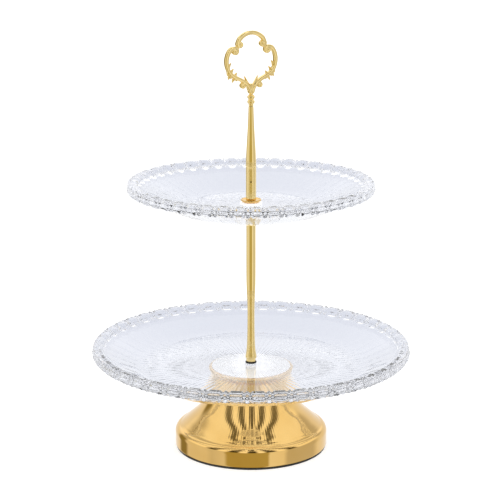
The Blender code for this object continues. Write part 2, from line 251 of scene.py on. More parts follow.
def gilt_material(name, bright, deep):
    """Gold plate over polished metal: faint colour drift, polishing haze and fine ripples."""
    nodes = Nodes(name)
    nodes.set(Metallic=1.0)
    nodes.colour(nodes.ranged(nodes.noise(38, detail=2), 0.0, 1.0), bright, deep)
    nodes.roughness(nodes.noise(160, detail=5, roughness=0.7), 0.025, 0.075)
    nodes.bump(nodes.noise(420, detail=2), 0.03, 0.00005)
    return nodes.material


def glass_material():
    """Clear pressed glass with a slight cool tint and the faint waviness of a pressed surface."""
    nodes = Nodes("pressed_glass")
    nodes.set(Base_Color=(0.975, 0.98, 0.99, 1), Transmission_Weight=1.0, IOR=1.5)
    nodes.roughness(nodes.noise(90, detail=4), 0.0, 0.008)
    nodes.bump(nodes.noise(160, detail=2), 0.05, 0.0001)
    return nodes.material


def silicone_material():
    """Milky translucent silicone with a soft surface. Its faint emission is a painted glow that lightens
    its shade, though the silicone is no lamp.
    """
    nodes = Nodes("clear_silicone_painted_glow")
    nodes.colour(nodes.ranged(nodes.noise(300), 0.0, 1.0), (0.975, 0.98, 0.99), (0.94, 0.945, 0.96))
    nodes.set(Transmission_Weight=0.12, IOR=1.41)
    # painted glow: a faint bluish emission lightens the gaskets and bushes wherever they fall in shade
    nodes.set(Emission_Color=(0.95, 0.96, 1, 1), Emission_Strength=0.28)
    nodes.roughness(nodes.noise(500), 0.25, 0.4)
    nodes.bump(nodes.noise(900, detail=3), 0.1, 0.00005)
    return nodes.material


def rubber_material():
    """Black rubber, dusty and slightly pebbled."""
    nodes = Nodes("black_rubber")
    nodes.colour(nodes.ranged(nodes.noise(500), 0.0, 1.0), (0.012, 0.012, 0.012), (0.035, 0.034, 0.033))
    nodes.roughness(nodes.noise(700), 0.6, 0.85)
    nodes.bump(nodes.noise(2200, detail=3), 0.35, 0.0001)
    return nodes.material


def steel_material(name, bright, deep):
    """Plated steel or brass with fine machining streaks."""
    nodes = Nodes(name)
    nodes.set(Metallic=1.0)
    streak = nodes.noise(60, detail=5, stretch=(1, 1, 40))
    nodes.colour(nodes.ranged(streak, 0, 1), bright, deep)
    nodes.roughness(streak, 0.22, 0.42)
    nodes.bump(streak, 0.1, 0.00005)
    return nodes.material


GILT = gilt_material("polished_gilt", (0.86, 0.675, 0.31), (0.82, 0.62, 0.26))
DEEP_GILT = gilt_material("deep_gilt", (0.76, 0.50, 0.18), (0.70, 0.44, 0.14))
GLASS = glass_material()
SILICONE = silicone_material()
RUBBER = rubber_material()
STEEL = steel_material("zinc_steel", (0.62, 0.62, 0.60), (0.48, 0.49, 0.50))
BRASS = steel_material("plain_brass", (0.72, 0.55, 0.27), (0.60, 0.44, 0.20))


# ---------------------------------------------------------------- pressed glass plates

SCALLOPS = 48
RAYS_PER_SCALLOP = 2
PLATE_CURVE_R = 26 * MM
GLASS_HOLE_R = 3.4 * MM

# Phases within a scallop's pitch: a wide block and a narrow bead, with a groove on either side
BLOCK_PHASE, BLOCK_HALF = 0.595, 0.335
BEAD_PHASE, BEAD_HALF = 0.095, 0.108
GROOVE_PHASES, GROOVE_HALF = (0.225, 0.9575), 0.06
STUD_PHASES = (0.095, 0.43, 0.76)

# How far the blocks, beads and studs stand out of the rim, and the rays and flutes sink into the glass
RELIEF = 1.1 * MM
STUD_R = 1.8 * MM
RAY_DEPTH = 0.09 * MM
FLUTE_DEPTH = 0.16 * MM


def column_phases():
    """Phases of the columns in one scallop, close together where the grooves run."""
    edges = []
    for centre in GROOVE_PHASES:
        edges += list(np.linspace(centre - GROOVE_HALF, centre + GROOVE_HALF, 7))
    spare = list(np.linspace(0.05, 0.13, 3)) + list(np.linspace(0.33, 0.86, 8))
    return np.sort(np.array(edges + spare) % 1)


def pillow(x, y, half_x, half_y, corner, soft):
    """1 on a rounded rectangle centred on 0 and 0 outside it, with a shoulder of width soft inside."""
    dx = np.abs(x) - (half_x - corner)
    dy = np.abs(y) - (half_y - corner)
    outside = np.hypot(np.maximum(dx, 0), np.maximum(dy, 0)) + np.minimum(np.maximum(dx, dy), 0)
    return ease(corner - outside, 0, soft)


def dome(x, y, radius):
    """A round cap of height 1."""
    return np.sqrt(np.maximum(0, 1 - (x**2 + y**2) / radius**2))


class Section:
    """A plate's section as (r, z) points, with the distance run along it and named stretches."""

    def __init__(self):
        self.points, self.marks = [], {}

    def run(self, name, points):
        """Add a named stretch of points."""
        self.marks[name] = (len(self.points), len(self.points) + len(points) - 1)
        self.points += points

    def finish(self):
        """Work out the outward normals and the distance run to each point."""
        self.points = np.array(self.points)
        steps = np.roll(self.points, -1, axis=0) - np.roll(self.points, 1, axis=0)
        normal = np.stack([steps[:, 1], -steps[:, 0]], axis=1)
        self.normal = normal / np.linalg.norm(normal, axis=1)[:, None]
        lengths = np.linalg.norm(np.diff(self.points, axis=0), axis=1)
        self.along = np.concatenate([[0], np.cumsum(lengths)])

    def span(self, first, last):
        """Where the stretch called first starts and the one called last ends, along the section."""
        return self.along[self.marks[first][0]], self.along[self.marks[last][1]]


def plate_section(radius, base, floor, rim, slope, wall):
    """The plate's section from its hole, under the base and round the rim to the hole again."""
    tilt = math.radians(slope)

    def fillet(level, edge, curve, count):
        """The curve from a level face into a wall that slopes up to edge."""
        reach = (math.cos(tilt) * (level + curve - edge[1]) - curve) / math.sin(tilt)
        return arc((edge[0] + reach, level + curve), curve, -90, -90 + slope, count)

    edge, top = radius - RELIEF, rim - RELIEF
    face_low, face_high = rim - 4.3 * MM, rim - 2.0 * MM
    low_corner, top_corner = 1.5 * MM, 1.2 * MM
    ledge = radius - 6.6 * MM
    inner = (radius - 9.0 * MM, rim - 3.6 * MM)
    outer = (inner[0] + wall * math.sin(tilt), inner[1] - wall * math.cos(tilt))
    under = fillet(base, outer, PLATE_CURVE_R + wall, 7)
    inside = fillet(floor, inner, PLATE_CURVE_R, 7)
    section = Section()
    section.run("base", line((GLASS_HOLE_R, base), under[0], 12))
    section.run("under_fillet", under)
    section.run("under_wall", line(under[-1], outer, 5)[1:])
    section.run("under_rim", line(outer, (edge - 1.6 * MM, rim - 6.3 * MM), 9))
    section.run("outer_corner", arc((edge - low_corner, rim - 4.7 * MM), low_corner, -85, 0, 5))
    section.run("outer_face", line((edge, face_low), (edge, face_high), 5))
    section.run("top_corner", arc((edge - top_corner, top - top_corner), top_corner, 0, 90, 5))
    section.run("top", line((edge - 1.9 * MM, top), (ledge, top), 8))
    flank = smooth([(ledge, top), (ledge - 1.3 * MM, face_high), inner], 6)
    section.run("flank", flank[:-1])
    section.run("wall", line(inner, inside[-1], 4))
    section.run("fillet", inside[::-1])
    section.run("floor", line(inside[0], (GLASS_HOLE_R, floor), 5)[1:] + [(GLASS_HOLE_R, floor)])
    section.finish()
    return section


def plate_relief(section, radius, phase):
    """How far each point of the plate stands out from its plain section.

    The rays fade in away from the hole and out before the wall, where the flutes take over up to the rim.
    """
    r = section.points[:, 0][:, None]
    s = section.along[:, None]
    pitch = TAU * radius / SCALLOPS

    def across(centre):
        """The distance round the rim from a phase of the scallop."""
        return ((phase - centre + 0.5) % 1 - 0.5) * pitch

    def cells(first, last, soft, corner):
        """A block and a bead to each scallop, over these stretches of the section."""
        start, end = section.span(first, last)
        middle, half = (start + end) / 2, (end - start) / 2
        block = pillow(across(BLOCK_PHASE), s - middle, BLOCK_HALF * pitch, half, corner, soft)
        bead = pillow(across(BEAD_PHASE), s - middle, BEAD_HALF * pitch, half, corner * 0.8, soft)
        return RELIEF * np.maximum(block, bead)

    relief = cells("top_corner", "flank", soft=1.3 * MM, corner=1.7 * MM)
    relief = np.maximum(relief, cells("under_rim", "outer_face", soft=2.2 * MM, corner=2.4 * MM))
    low, high = section.span("under_rim", "outer_corner")
    stud_line = low + 0.6 * (high - low)
    for centre in STUD_PHASES:
        relief = np.maximum(relief, STUD_R * dome(across(centre), s - stud_line, STUD_R))
    waist = section.span("base", "under_fillet")[1]
    brim = section.span("under_wall", "under_wall")[1]
    rays = RAY_DEPTH * (0.5 - 0.5 * np.cos(phase * RAYS_PER_SCALLOP * TAU))
    rays = rays * ease(r, 14 * MM, 30 * MM) * (1 - ease(s, waist - 14 * MM, waist))
    flutes = FLUTE_DEPTH * (1 - np.sin(phase * math.pi))
    flutes = flutes * ease(s, waist - 8 * MM, waist) * (1 - ease(s, brim - 4 * MM, brim))
    return relief - (rays + flutes) * (s < brim)


def pressed_plate(name, node, body, slope, wall):
    """A pressed glass plate: scallops round the rim, rays under the base, flutes outside the wall."""
    radius, base, rim = box_of(node)
    floor = mount_height(node + "_floor")
    section = plate_section(radius, base, floor, rim, slope, wall)
    phases = column_phases()
    phase = np.tile(phases, SCALLOPS)
    angle = (np.repeat(np.arange(SCALLOPS), len(phases)) + phase) * TAU / SCALLOPS
    relief = plate_relief(section, radius, phase)
    r = section.points[:, 0][:, None] + section.normal[:, 0][:, None] * relief
    z = section.points[:, 1][:, None] + section.normal[:, 1][:, None] * relief
    r, z = np.minimum(r, radius), np.clip(z, base, rim)
    points = np.stack([r * np.cos(angle), r * np.sin(angle), z], axis=-1)
    mesh = grid_mesh(name, points[::-1], smooth_angle=60)
    add_piece(name, mesh, body, GLASS, [node])


# ---------------------------------------------------------------- gilt foot and column


def foot_bell():
    """The foot: a spun bell whose skirt turns out into a drum, with a soft roll between them."""
    radius, bottom, top = box_of("foot_shell")
    wall, roll_r = 1.2 * MM, 5.2 * MM
    skirt = [(32.6, 0.6), (30.6, 4.0), (31.4, 10.0), (34.8, 17.8), (41.2, 27.0), (50.0, 35.2), (54.0, 38.6)]
    drum = [(0, 10.1), (0, 9.6), (0, 5.2), (0, 1.2), (0, 0.9), (0.2, 0.4), (0.7, 0.1), (1.3, 0), (8.2, 0)]
    outer = [(2.6 * MM, top), (31.4 * MM, top), (32.3 * MM, top - 0.2 * MM)]
    outer += [(r * MM, top - drop * MM) for r, drop in smooth(skirt, 9)]
    outer += arc((radius - roll_r, bottom + 2 * roll_r), roll_r, 78, 0, 16)
    outer += [(radius - inset * MM, bottom + rise * MM) for inset, rise in drum]
    path = np.array(outer)
    steps = np.gradient(path, axis=0)
    inward = np.stack([steps[:, 1], -steps[:, 0]], axis=1)
    inward /= np.linalg.norm(inward, axis=1)[:, None]
    inner = path + inward * wall
    inner[:, 1] = np.clip(inner[:, 1], bottom, top - wall)
    mesh = turned_mesh("foot_bell", np.concatenate([path, inner[::-1]]), steps=160)
    add_piece("foot_bell", mesh, "base", DEEP_GILT, ["foot_shell"])


def ring(name, node, body, surface, hole, soften, steps=96):
    """A flat ring that fills the node's box, with its edges rounded."""
    radius, bottom, top = box_of(node)
    outline = softened([(hole, top), (radius, top), (radius, bottom), (hole, bottom)], soften, 6)
    add_piece(name, turned_mesh(name, outline, steps), body, surface, [node])


def foot_seat():
    """The spun disc on the foot, with a rolled edge and a shallow step inside it."""
    radius, bottom, top = box_of("foot_seat")
    recess, step = 0.2 * MM, radius - 2.4 * MM
    outline = [(TAP_R, top - recess), (step - 0.6 * MM, top - recess), (step, top)]
    outline += arc((radius - 1.0 * MM, (top + bottom) / 2), (top - bottom) / 2, 90, -90, 14)
    outline += [(step, bottom), (TAP_R, bottom)]
    mesh = turned_mesh("foot_seat_disc", outline, steps=160)
    add_piece("foot_seat_disc", mesh, "base", DEEP_GILT, ["foot_seat"])


def hexagon_point(index, radius, height):
    """A point of HEXAGON_STEPS round a hexagon whose corners lie at radius. Point 0 halves a flat."""
    half_flat = math.pi / 6
    angle = index * TAU / HEXAGON_STEPS
    reach = radius * math.cos(half_flat) / math.cos((angle + half_flat) % (2 * half_flat) - half_flat)
    return (min(reach, radius) * math.cos(angle), min(reach, radius) * math.sin(angle), height)


def add_hexagon_head(bm, low, high, radius):
    """A bolt's head, with its lower edge chamfered a little deeper in the middle of each flat."""
    rings = []
    chamfer = 0.35 * MM
    for height, reach, dip in ((low, 0.9 * radius, 0.045), (low + chamfer, radius, 0), (high, radius, 0)):
        reaches = [reach * (1 - dip * (i % (HEXAGON_STEPS // 6) == 0)) for i in range(HEXAGON_STEPS)]
        rings.append([bm.verts.new(hexagon_point(i, r, height)) for i, r in enumerate(reaches)])
    bm.faces.new(rings[0][::-1])
    bm.faces.new(rings[-1])
    for one, other in zip(rings, rings[1:]):
        for i in range(HEXAGON_STEPS):
            j = (i + 1) % HEXAGON_STEPS
            bm.faces.new((one[i], one[j], other[j], other[i]))


def thread_mesh(name, bottom, top, head=None):
    """An M4 thread from bottom to top, with pointed ends. A head is its low, its high and its radius."""
    steps, rows_per_turn = 32, 8
    point_share = 0.72
    z = np.arange(bottom, top, THREAD_PITCH / rows_per_turn)[:, None]
    angle = (np.arange(steps) * TAU / steps)[None, :]
    turn = (z / THREAD_PITCH - angle / TAU) % 1
    slope, crest = 2.6, 0.3  # how steep the flanks are, and how wide the flat crest
    depth = np.clip(np.abs(turn - 0.5) * slope - crest, 0, 1) * THREAD_DEPTH
    lead = np.clip(np.minimum(z - bottom, top - z) / THREAD_PITCH, 0, 1)
    radius = (THREAD_R - depth) * (point_share + (1 - point_share) * lead)
    points = np.stack([radius * np.cos(angle), radius * np.sin(angle), z + 0 * angle], axis=-1)
    bm = bmesh.new()
    bm.from_mesh(grid_mesh(name, points, 30, closed=False))
    if head:
        add_hexagon_head(bm, *head)
    bmesh.ops.recalc_face_normals(bm, faces=bm.faces)
    mesh = bpy.data.meshes.new(name)
    bm.to_mesh(mesh)
    bm.free()
    mesh.shade_smooth()
    mesh.set_sharp_from_angle(angle=math.radians(30))
    return mesh


def foot_bolt():
    """The bolt inside the foot. Its thread starts inside its head."""
    radius, low, top = box_of("foot_bolt")
    head_height, root = 2.8 * MM, 1.8 * MM
    mesh = thread_mesh("foot_bolt_threaded", low + root, top, (low, low + head_height, radius))
    add_piece("foot_bolt_threaded", mesh, "base", STEEL, ["foot_bolt"])


def middle_stud():
    """The stud that joins the two rods."""
    _, low, top = box_of("middle_stud")
    mesh = thread_mesh("middle_stud_threaded", low, top)
    add_piece("middle_stud_threaded", mesh, "lower_column", STEEL, ["middle_stud"])


def lower_rod():
    """The solid turned rod: slim at the waist, flared at the foot, with a tapped hole in each end."""
    radius, bottom, top = box_of("lower_rod")
    hole_depth, axis = 11.5 * MM, 0.01 * MM
    profile = [(3.70, 0.5), (3.70, 16), (3.70, 47), (3.45, 59), (2.85, 73), (2.85, 90)]
    profile += [(3.15, 103), (3.65, 109.5), (4.35, 113.6)]
    side = [(r * MM, top - drop * MM) for r, drop in smooth(profile, 12)]
    collar = arc((radius - 1.2 * MM, bottom + 3.4 * MM), 1.2 * MM, 22, -45, 10)
    foot = [(3.72 * MM, bottom + 1.9 * MM), (3.72 * MM, bottom + 0.25 * MM), (3.5 * MM, bottom)]
    outline = [(axis, top - hole_depth), (TAP_R, top - hole_depth), (TAP_R, top)]
    outline += [(3.3 * MM, top), (3.6 * MM, top - 0.2 * MM)] + side + collar + foot
    outline += [(TAP_R, bottom), (TAP_R, bottom + hole_depth), (axis, bottom + hole_depth)]
    mesh = turned_mesh("lower_rod_turned", outline, steps=64)
    add_piece("lower_rod_turned", mesh, "lower_column", GILT, ["lower_rod"])


def apply_modifiers(obj):
    """Give the object the mesh that its modifiers make."""
    view = bpy.context.evaluated_depsgraph_get()
    mesh = bpy.data.meshes.new_from_object(obj.evaluated_get(view))
    obj.modifiers.clear()
    obj.data = mesh


def vent_drill(height):
    """A drill through the front wall of the upper rod that stops inside its bore."""
    facing = Vector((-0.47, -0.88, 0)).normalized()
    vent_r, length, tip = 0.6 * MM, 8 * MM, 0.5 * MM
    place = Matrix.Translation(Vector((0, 0, height)) + facing * (tip + length / 2))
    place = place @ facing.to_track_quat("Z", "Y").to_matrix().to_4x4()
    drill = bmesh.new()
    bmesh.ops.create_cone(drill, cap_ends=True, segments=24, radius1=vent_r, radius2=vent_r,
                          depth=length, matrix=place)
    mesh = bpy.data.meshes.new("drill")
    drill.to_mesh(mesh)
    drill.free()
    tool = bpy.data.objects.new("drill", mesh)
    bpy.context.scene.collection.objects.link(tool)
    return tool


def upper_rod():
    """The drawn tube, tapered to a neck, with its vent hole."""
    radius, bottom, _ = box_of("upper_rod")
    wall, neck_bore_r, vent_rise = 0.75 * MM, 1.3 * MM, 15 * MM
    profile = [(2.0, 73.0), (2.6, 57.0), (3.65, 39.0), (3.95, 30.0), (3.95, 14.0), (3.95, 0.35)]
    side = [(r * MM, bottom + rise * MM) for r, rise in smooth(profile, 12)]
    bore = [(max(r - wall, neck_bore_r), z) for r, z in side]
    bore[-1] = (bore[-1][0], bottom)
    outline = side + [(radius - 0.3 * MM, bottom)] + bore[::-1]
    mesh = turned_mesh("upper_rod_tube", outline, steps=64)
    rod = add_piece("upper_rod_tube", mesh, "upper_column", GILT, ["upper_rod"])
    tool = vent_drill(bottom + vent_rise)
    cut = rod.modifiers.new("vent", "BOOLEAN")
    cut.operation, cut.solver, cut.object = "DIFFERENCE", "EXACT", tool
    apply_modifiers(rod)
    bpy.data.objects.remove(tool, do_unlink=True)


def support_washer():
    """The dished washer under the upper plate."""
    radius, bottom, top = box_of("upper_support_washer")
    bead = 0.85 * MM
    outline = [(TAP_R, top), (radius - 2.2 * MM, top), (radius - 1.6 * MM, top - 0.1 * MM)]
    outline += arc((radius - bead, top - bead), bead, 90, -60, 12)
    outline += [(6.4 * MM, bottom + 0.25 * MM), (5.2 * MM, bottom), (TAP_R, bottom)]
    name = "upper_support_washer_dished"
    mesh = turned_mesh(name, outline)
    add_piece(name, mesh, "lower_column", GILT, ["upper_support_washer"])


def cup_washer():
    """The cup washer on the upper plate, under the upper rod."""
    radius, bottom, top = box_of("upper_cup_washer")
    seat = mount_height("upper_plate_floor") + 3.5 * MM
    lip = 0.42 * MM
    dish = smooth([(4.7 * MM, seat), (5.6 * MM, seat + 0.1 * MM), (6.6 * MM, seat + 0.5 * MM),
                   (radius - 2 * lip, top - 0.35 * MM)], 5)
    outline = [(TAP_R, seat)] + dish + arc((radius - lip, top - lip), lip, 135, -30, 10)
    under = [(radius - 0.25 * MM, top - 1.1 * MM), (6.9 * MM, bottom + 0.45 * MM), (6.1 * MM, bottom)]
    outline += smooth(under, 4) + [(TAP_R, bottom)]
    mesh = turned_mesh("upper_cup_washer_dished", outline)
    add_piece("upper_cup_washer_dished", mesh, "upper_washer", DEEP_GILT, ["upper_cup_washer"])


def plain_rings():
    """The pad, the gaskets, the plates' bushes, the bolt's washer and the tapped bush of the upper rod."""
    ring("foot_pad_ring", "foot_pad", "base", RUBBER, 53 * MM, 0.5 * MM, 160)
    for node, body, surface, slot, soften in (
        ("lower_plate_bottom_gasket", "base", SILICONE, "lower_gasket_silicone", 0.3),
        ("lower_plate_top_gasket", "lower_washer", RUBBER, "lower_washer_rubber", 0.4),
        ("upper_plate_bottom_gasket", "lower_column", SILICONE, "upper_gasket_silicone", 0.4),
        ("upper_plate_top_gasket", "upper_washer", SILICONE, "top_gasket_silicone", 0.7),
    ):
        ring(node + "_soft", node, body, surface, TAP_R, soften * MM)
    for node, body, slot in (
        ("lower_plate_bush", "lower_dish", "lower_bush_silicone"),
        ("upper_plate_bush", "upper_dish", "upper_bush_silicone"),
    ):
        ring(node + "_soft", node, body, SILICONE, TAP_R, 0.3 * MM, 48)
    ring("foot_bolt_washer_flat", "foot_bolt_washer", "base", STEEL, TAP_R, 0.35 * MM)
    ring("upper_rod_insert_bush", "upper_rod_insert", "upper_column", BRASS, TAP_R,
         0.3 * MM, 48)


# ---------------------------------------------------------------- ring handle

# Centrelines in the handle's plane, in millimetres from the axis and from the handle's base
TOP_CENTRE, TOP_R = (0.0, 42.9), 13.1
UPPER_VOLUTE, SIDE_VOLUTE, LOW_VOLUTE = (9.55, 47.55), (13.9, 42.6), (7.05, 16.0)
SIDE_BAR = (
    (17.0, 44.3), (19.0, 42.1), (20.4, 38.9), (21.0, 35.0), (20.4, 30.9), (18.8, 27.2), (16.0, 24.4),
    (12.2, 22.2), (8.2, 20.3), (4.6, 17.7), (2.2, 14.3), (1.1, 10.7),
)
LEAVES = (
    ((19.9, 25.1), (19.6, 28.3), (18.7, 31.3), (17.2, 34.0)),
    ((17.4, 22.6), (17.2, 25.6), (16.4, 27.8), (15.0, 29.4)),
    ((12.6, 20.5), (13.4, 23.1), (13.2, 24.9), (12.2, 26.3)),
    ((15.8, 25.3), (17.9, 24.3), (19.0, 23.1), (19.2, 21.6)),
    ((12.2, 23.1), (14.2, 21.9), (15.5, 20.7), (15.9, 19.1)),
    ((0.8, 10.9), (2.2, 15.7), (4.0, 19.5), (5.6, 23.1)),
)


def swept(path, widths, depths, power=3.6, sides=24):
    """A closed bar along (x, z) points, with its width in their plane and its depth along Y.

    Widths and depths are spread evenly along it. A higher power makes its section squarer.
    """
    path = np.array(path, dtype=float)
    share = np.linspace(0, 1, len(path))
    widths = np.interp(share, np.linspace(0, 1, len(widths)), widths)
    depths = np.interp(share, np.linspace(0, 1, len(depths)), depths)
    step = np.gradient(path, axis=0)
    step /= np.linalg.norm(step, axis=1)[:, None]
    rows = list(zip(path, step, widths, depths))
    for end, sign in ((0, -1), (-1, 1)):
        p, s, w, d = rows[end]
        for turn in (0.5, 0.9, 1.25):  # round the end off
            row = (p + sign * s * w * 0.5 * math.sin(turn), s, w * math.cos(turn), d * math.cos(turn))
            rows = [row] + rows if end == 0 else rows + [row]
    angles = np.arange(sides) * TAU / sides
    across = np.sign(np.cos(angles)) * np.abs(np.cos(angles)) ** (2 / power)
    along_y = np.sign(np.sin(angles)) * np.abs(np.sin(angles)) ** (2 / power)
    points = [
        np.stack([p[0] - s[1] * across * w / 2, along_y * d / 2, p[1] + s[0] * across * w / 2], axis=-1)
        for p, s, w, d in rows
    ]
    return grid_mesh("bar", np.array(points) * MM, closed=False)


def spiral(centre, outer, inner, start, turns, count=40):
    """Points that wind in round centre from the angle start, in degrees; turns is signed."""
    share = np.linspace(0, 1, count)
    radius = outer + (inner - outer) * share
    angle = np.radians(start) + share * turns * TAU
    return [(centre[0] + r * math.cos(a), centre[1] + r * math.sin(a)) for r, a in zip(radius, angle)]


def boss(centre, radius, depth):
    """A lens on the handle's plane, round the Y axis."""
    bm = bmesh.new()
    place = Matrix.Translation((centre[0] * MM, 0, centre[1] * MM)) @ Matrix.Rotation(math.pi / 2, 4, "X")
    place = place @ Matrix.Diagonal((1, 1, depth / (2 * radius), 1))
    bmesh.ops.create_uvsphere(bm, u_segments=32, v_segments=20, radius=radius * MM, matrix=place)
    mesh = bpy.data.meshes.new("boss")
    bm.to_mesh(mesh)
    bm.free()
    return mesh


def handle_half():
    """The right half of the ring: bars that end in volutes, the ties between them, and the leaves."""
    parts = []
    top = arc(TOP_CENTRE, TOP_R, 93, 40, 10)
    curl = spiral(UPPER_VOLUTE, 2.05, 1.0, 25, -1.25)
    lobe = smooth(top + curl[::2], 4)
    parts.append(swept(lobe, [3.3, 3.4, 3.6, 2.8, 2.0, 1.6, 1.3, 1.1], [3.4, 3.6, 4.0, 4.0, 4.2, 4.4]))
    curl = spiral(SIDE_VOLUTE, 2.1, 1.0, 75, 1.25)
    widths = [1.2, 1.6, 1.9, 2.3, 2.9, 3.1, 3.3, 3.3, 3.0, 3.0, 2.4]
    side = smooth(curl[::-2] + list(SIDE_BAR), 4)
    parts.append(swept(side, widths, [4.4, 4.2, 4.0, 3.8, 3.8, 3.8, 4.0, 4.2, 4.6]))
    curl = spiral(LOW_VOLUTE, 1.75, 0.8, 95, -1.2)
    spring = smooth([(2.2, 12.5), (3.4, 15.5), (5.2, 17.6)], 5)
    parts.append(swept(spring + curl, [1.6, 1.9, 1.8, 1.5, 1.1], [3.6, 3.8, 4.0]))
    for centre, radius in ((UPPER_VOLUTE, 2.5), (SIDE_VOLUTE, 2.5), (LOW_VOLUTE, 2.0)):
        parts.append(boss(centre, radius, 3.0))
        parts.append(boss(centre, 0.42 * radius, 5.0))
    parts.append(swept([(10.6, 46.4), (12.9, 43.8)], [2.4, 2.4], [3.0, 3.0]))
    parts.append(swept([(7.8, 19.7), (7.3, 17.3)], [1.8, 1.8], [3.0, 3.0]))
    leaf_widths, leaf_depths = [1.6, 2.5, 2.5, 1.8, 0.7], [2.6, 3.8, 3.4, 2.4, 1.2]
    for leaf in LEAVES:
        parts.append(swept(smooth(leaf, 5), leaf_widths, leaf_depths, power=1.7))
    return parts


def handle_stem():
    """The beaded stem under the ring, with the blind hole for its pin."""
    axis, pin_r, pin_depth = 0.02, 1.3, 4.3
    outline = [(axis, 17.5), (1.5, 17.0), (2.3, 14.4), (2.15, 12.2), (1.75, 10.0), (1.45, 8.75)]
    outline = smooth(outline, 4)[:-1] + arc((1.15, 6.95), 1.8, 60, -58, 14)
    outline += arc((1.15, 3.35), 1.8, 58, -62, 14) + [(1.9, 1.45), (1.95, 1.2), (1.95, 0.1), (1.85, 0.0)]
    outline += [(pin_r, 0.0), (pin_r, pin_depth), (axis, pin_depth)]
    return turned_mesh("stem", np.array(outline) * MM, steps=48)


def handle():
    """One casting, melted together from its bars, volutes and leaves and set on its node's base."""
    low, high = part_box("handle")
    bm = bmesh.new()
    for part in handle_half():
        bm.from_mesh(part)
    half = bpy.data.meshes.new("half")
    bm.to_mesh(half)
    bmesh.ops.scale(bm, vec=(-1, 1, 1), verts=bm.verts)
    bm.from_mesh(half)
    bm.from_mesh(handle_stem())
    bmesh.ops.translate(bm, vec=(0, 0, low[2]), verts=bm.verts)
    bmesh.ops.recalc_face_normals(bm, faces=bm.faces)
    mesh = bpy.data.meshes.new("handle_cast")
    bm.to_mesh(mesh)
    bm.free()
    obj = add_piece("handle_cast", mesh, "upper_column", GILT, ["handle"])
    melt = obj.modifiers.new("melt", "REMESH")
    melt.mode, melt.voxel_size, melt.use_smooth_shade = "VOXEL", 0.2 * MM, True
    soft = obj.modifiers.new("soft", "SMOOTH")
    soft.factor, soft.iterations = 0.5, 2
    apply_modifiers(obj)
    for vert in obj.data.vertices:
        for axis in range(3):
            vert.co[axis] = min(max(vert.co[axis], low[axis]), high[axis])


# ---------------------------------------------------------------- light and camera

# Brightness of the studio round the object, level with it and higher up, by the direction's share of a
# turn anticlockwise from straight behind the object; 0.5 is the camera's side
LOW_BAND = (
    (0.00, 1.05), (0.115, 1.05), (0.135, 0.34), (0.175, 0.34), (0.195, 0.98), (0.30, 0.98), (0.33, 0.84),
    (0.375, 0.94), (0.385, 0.94), (0.40, 0.57), (0.57, 0.57), (0.58, 1.08), (0.64, 1.08), (0.66, 0.74),
    (0.80, 0.74), (0.84, 1.05),
)
HIGH_BAND = (
    (0.00, 1.35), (0.10, 1.35), (0.13, 0.70), (0.16, 0.70), (0.19, 1.35), (0.29, 1.35), (0.31, 0.12),
    (0.34, 0.12), (0.36, 1.40), (0.39, 1.40), (0.41, 0.10), (0.44, 0.10), (0.455, 1.40), (0.48, 1.40),
    (0.49, 0.08), (0.52, 0.08), (0.535, 1.40), (0.555, 1.40), (0.57, 0.10), (0.60, 0.10), (0.62, 1.40),
    (0.65, 1.40), (0.67, 0.12), (0.70, 0.12), (0.72, 1.35), (0.84, 1.35), (0.87, 0.70), (0.90, 0.70),
    (0.93, 1.35),
)

# Stops darker than this level are flags, and tinted
FLAG_LEVEL = 0.6
FLAG_TINT = (1.0, 0.87, 0.38)

CEILING = (1.1, 1.1, 1.1)
BACKGROUND = (1.0, 1.0, 1.0)
FLOOR_LIGHT = (1.35, 1.35, 1.35)
FLOOR_GLOW = 0.56

# What glass shows through itself: below and level with it, and above it
GLASS_VEIL = (0.72, 0.745, 0.83)
GLASS_SKY = (1.25, 1.26, 1.30)

# Heights of a direction, 1 being straight up, between which one light turns into the next
HIGH_BAND_RISE = (0.22, 0.42)
CEILING_RISE = (0.97, 0.998)
SKY_RISE = (0.05, 0.35)

# The share of that veil or sky that a ray takes on with each glass surface that it passes, and the share
# that it loses if it has bounced once, so that reflections in the glass show the studio
VEIL_PER_PASS = 0.6
BOUNCE_LOSS = 0.95


